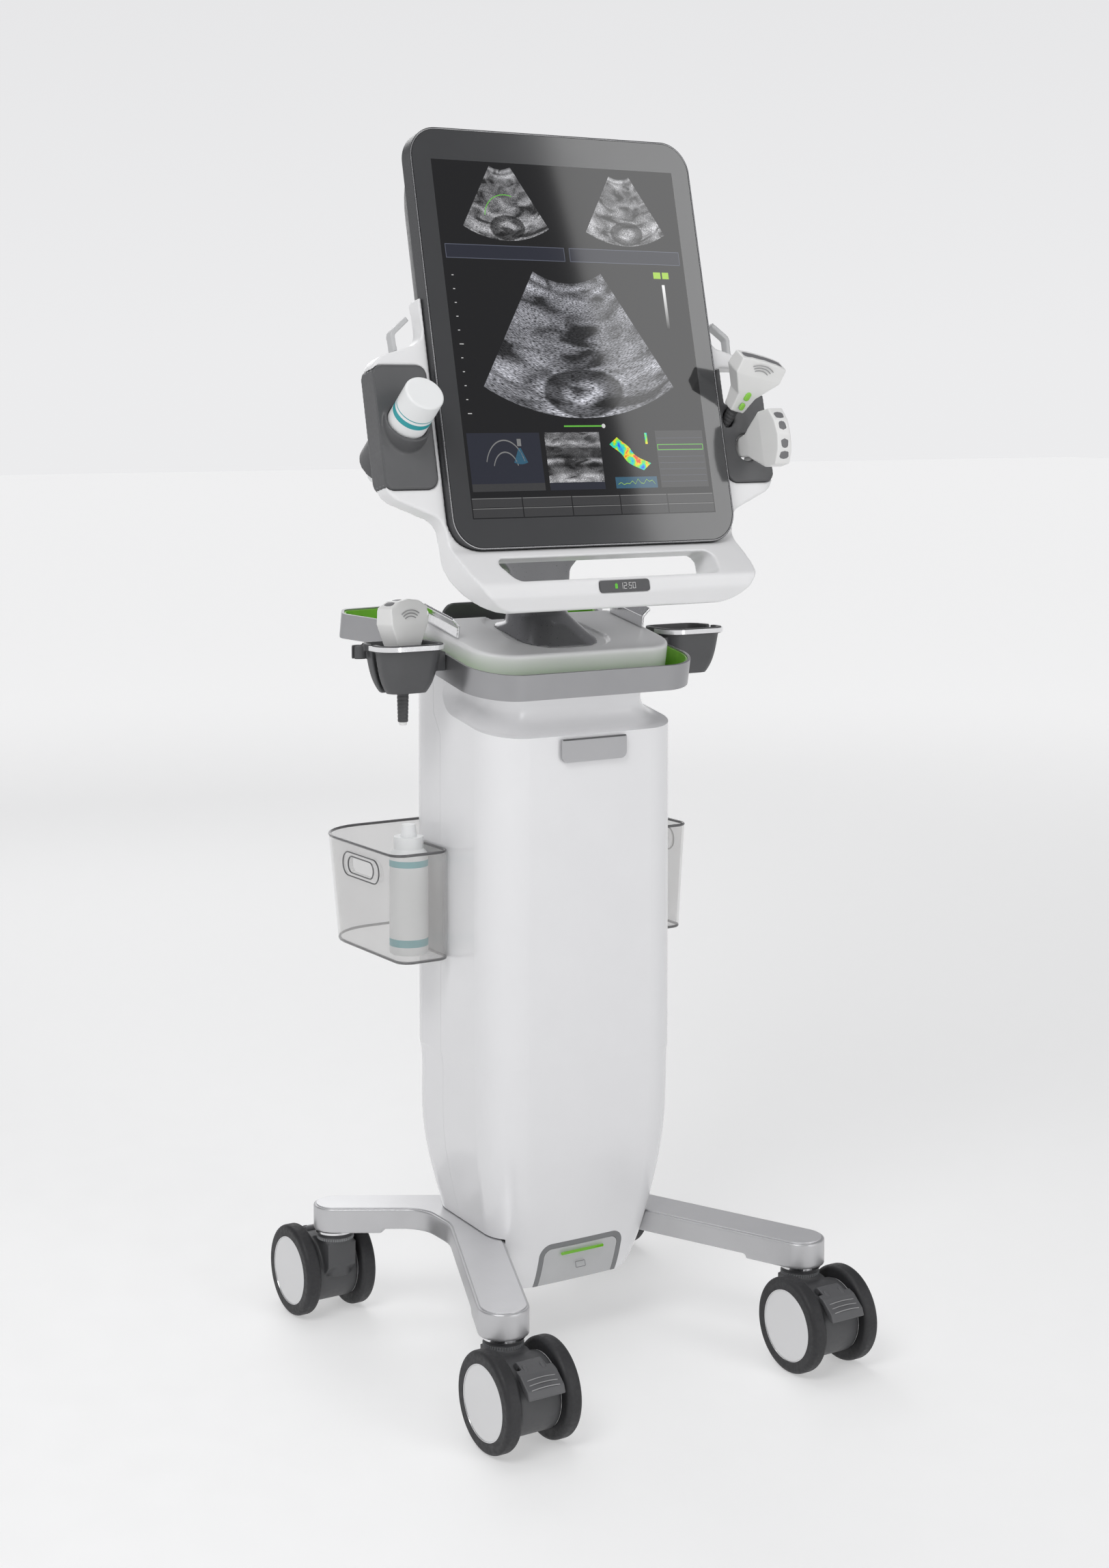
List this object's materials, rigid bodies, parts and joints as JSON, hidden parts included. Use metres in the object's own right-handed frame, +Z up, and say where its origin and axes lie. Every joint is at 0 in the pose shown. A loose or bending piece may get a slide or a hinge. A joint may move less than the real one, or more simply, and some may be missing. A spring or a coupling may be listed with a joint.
{
  "type": "point-of-care ultrasound cart",
  "caption": "Wheeled cart with four legs on twin-wheel casters, a white column, a sloping tool deck with probe cups, a clear tray round the column, and a tilting display head with a handle and pods.",
  "frame": {"origin": "on the floor, in the middle of the four caster swivels", "axes": "+Z up, -Y towards the front of the cart (the side the screen faces), +X to the right of a person who looks at the front"},
  "size_m": [0.4918, 0.53, 1.3106],
  "materials": {
    "cast_alloy": "satin cast, clear coated",
    "brushed_alloy": "brushed",
    "white_gloss": "gloss moulded",
    "white_satin": "satin moulded",
    "dark_plastic": "fine texture moulded",
    "grey_plastic": "fine texture moulded",
    "light_grey_plastic": "fine texture moulded",
    "lime_plastic": "gloss moulded",
    "arm_metal": "dark silver satin paint",
    "steel": "turned",
    "bright_metal": "polished",
    "rim_metal": "dark metallic paint",
    "tyre_rubber": "smooth soft rubber",
    "screen_glass": "polished, black behind",
    "panel": "matt",
    "smoke_clear": "clear, grey tinted",
    "bottle_plastic": "soft moulded",
    "probe_plastic": "satin moulded",
    "battery_case": "matt"
  },
  "bodies": {
    "cart": {"base_frame": "cast_alloy", "leg_inlays": "brushed_alloy", "column_front_shell": "white_gloss", "column_back_shell": "white_gloss", "door_frame": "grey_plastic", "badge_plate": "brushed_alloy", "bottom_cover": "grey_plastic", "inner_mast": "cast_alloy", "battery_pack": "battery_case", "column_electronics": "panel", "connector_panel": "dark_plastic", "mains_inlet": "dark_plastic", "earth_pin": "steel", "deck_band": "brushed_alloy", "deck_liner": "lime_plastic", "deck_block": "white_satin", "deck_clips": "bright_metal", "cable_rest": "dark_plastic", "arm_base": "arm_metal", "probe_holder_left": "dark_plastic", "probe_holder_right": "dark_plastic", "holder_trims": "bright_metal", "basket": "smoke_clear", "basket_plates": "white_gloss"},
    "battery_door": {"battery_door": "light_grey_plastic"},
    "yoke": {"swivel_yoke": "arm_metal", "tilt_pin": "steel"},
    "head": {"display_glass": "screen_glass", "display_rim": "rim_metal", "display_panel": "panel", "head_back_cover": "dark_plastic", "tilt_hub": "arm_metal", "probe_ports": "dark_plastic", "carrier_frame": "white_satin", "handle_display": "dark_plastic", "cable_hooks": "light_grey_plastic", "bottle_pod": "dark_plastic", "probe_pod": "dark_plastic"},
    "caster_front_left": {"caster_housing_front_left": "dark_plastic"},
    "wheel_front_left_left": {"caster_wheel_front_left_left": "tyre_rubber"},
    "wheel_front_left_right": {"caster_wheel_front_left_right": "tyre_rubber"},
    "pedal_front_left": {"brake_pedal_front_left": "light_grey_plastic"},
    "caster_front_right": {"caster_housing_front_right": "dark_plastic"},
    "wheel_front_right_left": {"caster_wheel_front_right_left": "tyre_rubber"},
    "wheel_front_right_right": {"caster_wheel_front_right_right": "tyre_rubber"},
    "pedal_front_right": {"brake_pedal_front_right": "light_grey_plastic"},
    "caster_back_left": {"caster_housing_back_left": "dark_plastic"},
    "wheel_back_left_left": {"caster_wheel_back_left_left": "tyre_rubber"},
    "wheel_back_left_right": {"caster_wheel_back_left_right": "tyre_rubber"},
    "pedal_back_left": {"brake_pedal_back_left": "light_grey_plastic"},
    "caster_back_right": {"caster_housing_back_right": "dark_plastic"},
    "wheel_back_right_left": {"caster_wheel_back_right_left": "tyre_rubber"},
    "wheel_back_right_right": {"caster_wheel_back_right_right": "tyre_rubber"},
    "pedal_back_right": {"brake_pedal_back_right": "light_grey_plastic"},
    "deck_probe": {"deck_probe": "probe_plastic"},
    "basket_bottle": {"basket_bottle": "bottle_plastic"},
    "pod_bottle": {"pod_bottle": "bottle_plastic"},
    "linear_probe": {"linear_probe": "probe_plastic"},
    "convex_probe": {"convex_probe": "probe_plastic"}
  },
  "joints": [
    {"name": "battery_door_hinge", "type": "hinge", "parent": "cart", "child": "battery_door", "pos_m": [0, -0.019, 0.074], "axis": [1, 0, 0], "range_deg": [0, 80]},
    {"name": "swivel_front_left", "type": "hinge", "parent": "cart", "child": "caster_front_left", "pos_m": [-0.186, -0.182, 0.1], "axis": [0, 0, 1], "continuous": true},
    {"name": "spin_front_left_left", "type": "hinge", "parent": "caster_front_left", "child": "wheel_front_left_left", "pos_m": [-0.186, -0.213, 0.05], "axis": [1, 0, 0], "continuous": true},
    {"name": "spin_front_left_right", "type": "hinge", "parent": "caster_front_left", "child": "wheel_front_left_right", "pos_m": [-0.186, -0.213, 0.05], "axis": [1, 0, 0], "continuous": true},
    {"name": "press_front_left", "type": "hinge", "parent": "caster_front_left", "child": "pedal_front_left", "pos_m": [-0.186, -0.229, 0.086], "axis": [1, 0, 0], "range_deg": [0, 8], "stiffness_Nm_per_rad": 0.8, "springref_deg": -2.86},
    {"name": "swivel_front_right", "type": "hinge", "parent": "cart", "child": "caster_front_right", "pos_m": [0.186, -0.182, 0.1], "axis": [0, 0, 1], "continuous": true},
    {"name": "spin_front_right_left", "type": "hinge", "parent": "caster_front_right", "child": "wheel_front_right_left", "pos_m": [0.186, -0.213, 0.05], "axis": [1, 0, 0], "continuous": true},
    {"name": "spin_front_right_right", "type": "hinge", "parent": "caster_front_right", "child": "wheel_front_right_right", "pos_m": [0.186, -0.213, 0.05], "axis": [1, 0, 0], "continuous": true},
    {"name": "press_front_right", "type": "hinge", "parent": "caster_front_right", "child": "pedal_front_right", "pos_m": [0.186, -0.229, 0.086], "axis": [1, 0, 0], "range_deg": [0, 8], "stiffness_Nm_per_rad": 0.8, "springref_deg": -2.86},
    {"name": "swivel_back_left", "type": "hinge", "parent": "cart", "child": "caster_back_left", "pos_m": [-0.186, 0.182, 0.1], "axis": [0, 0, 1], "continuous": true},
    {"name": "spin_back_left_left", "type": "hinge", "parent": "caster_back_left", "child": "wheel_back_left_left", "pos_m": [-0.186, 0.213, 0.05], "axis": [1, 0, 0], "continuous": true},
    {"name": "spin_back_left_right", "type": "hinge", "parent": "caster_back_left", "child": "wheel_back_left_right", "pos_m": [-0.186, 0.213, 0.05], "axis": [1, 0, 0], "continuous": true},
    {"name": "press_back_left", "type": "hinge", "parent": "caster_back_left", "child": "pedal_back_left", "pos_m": [-0.186, 0.229, 0.086], "axis": [-1, 0, 0], "range_deg": [0, 8], "stiffness_Nm_per_rad": 0.8, "springref_deg": -2.86},
    {"name": "swivel_back_right", "type": "hinge", "parent": "cart", "child": "caster_back_right", "pos_m": [0.186, 0.182, 0.1], "axis": [0, 0, 1], "continuous": true},
    {"name": "spin_back_right_left", "type": "hinge", "parent": "caster_back_right", "child": "wheel_back_right_left", "pos_m": [0.186, 0.213, 0.05], "axis": [1, 0, 0], "continuous": true},
    {"name": "spin_back_right_right", "type": "hinge", "parent": "caster_back_right", "child": "wheel_back_right_right", "pos_m": [0.186, 0.213, 0.05], "axis": [1, 0, 0], "continuous": true},
    {"name": "press_back_right", "type": "hinge", "parent": "caster_back_right", "child": "pedal_back_right", "pos_m": [0.186, 0.229, 0.086], "axis": [-1, 0, 0], "range_deg": [0, 8], "stiffness_Nm_per_rad": 0.8, "springref_deg": -2.86},
    {"name": "head_swivel", "type": "hinge", "parent": "cart", "child": "yoke", "pos_m": [0, 0.06, 0.815], "axis": [0, 0, 1], "range_deg": [-20, 20]},
    {"name": "head_tilt", "type": "hinge", "parent": "yoke", "child": "head", "pos_m": [0, 0.06, 0.905], "axis": [-1, 0, 0], "range_deg": [-10, 20]},
    {"name": "deck_probe_lift", "type": "slide", "parent": "cart", "child": "deck_probe", "axis": [0, 0, 1], "range_m": [0, 0.1]},
    {"name": "basket_bottle_lift", "type": "slide", "parent": "cart", "child": "basket_bottle", "axis": [0, 0, 1], "range_m": [0, 0.12]},
    {"name": "pod_bottle_lift", "type": "slide", "parent": "head", "child": "pod_bottle", "axis": [0, -0.7749, 0.6321], "range_m": [0, 0.12]},
    {"name": "linear_probe_lift", "type": "slide", "parent": "head", "child": "linear_probe", "axis": [0.2009, -0.5193, 0.8307], "range_m": [0, 0.08]},
    {"name": "convex_probe_lift", "type": "slide", "parent": "head", "child": "convex_probe", "axis": [0, -0.9744, 0.225], "range_m": [0, 0.07]}
  ]
}
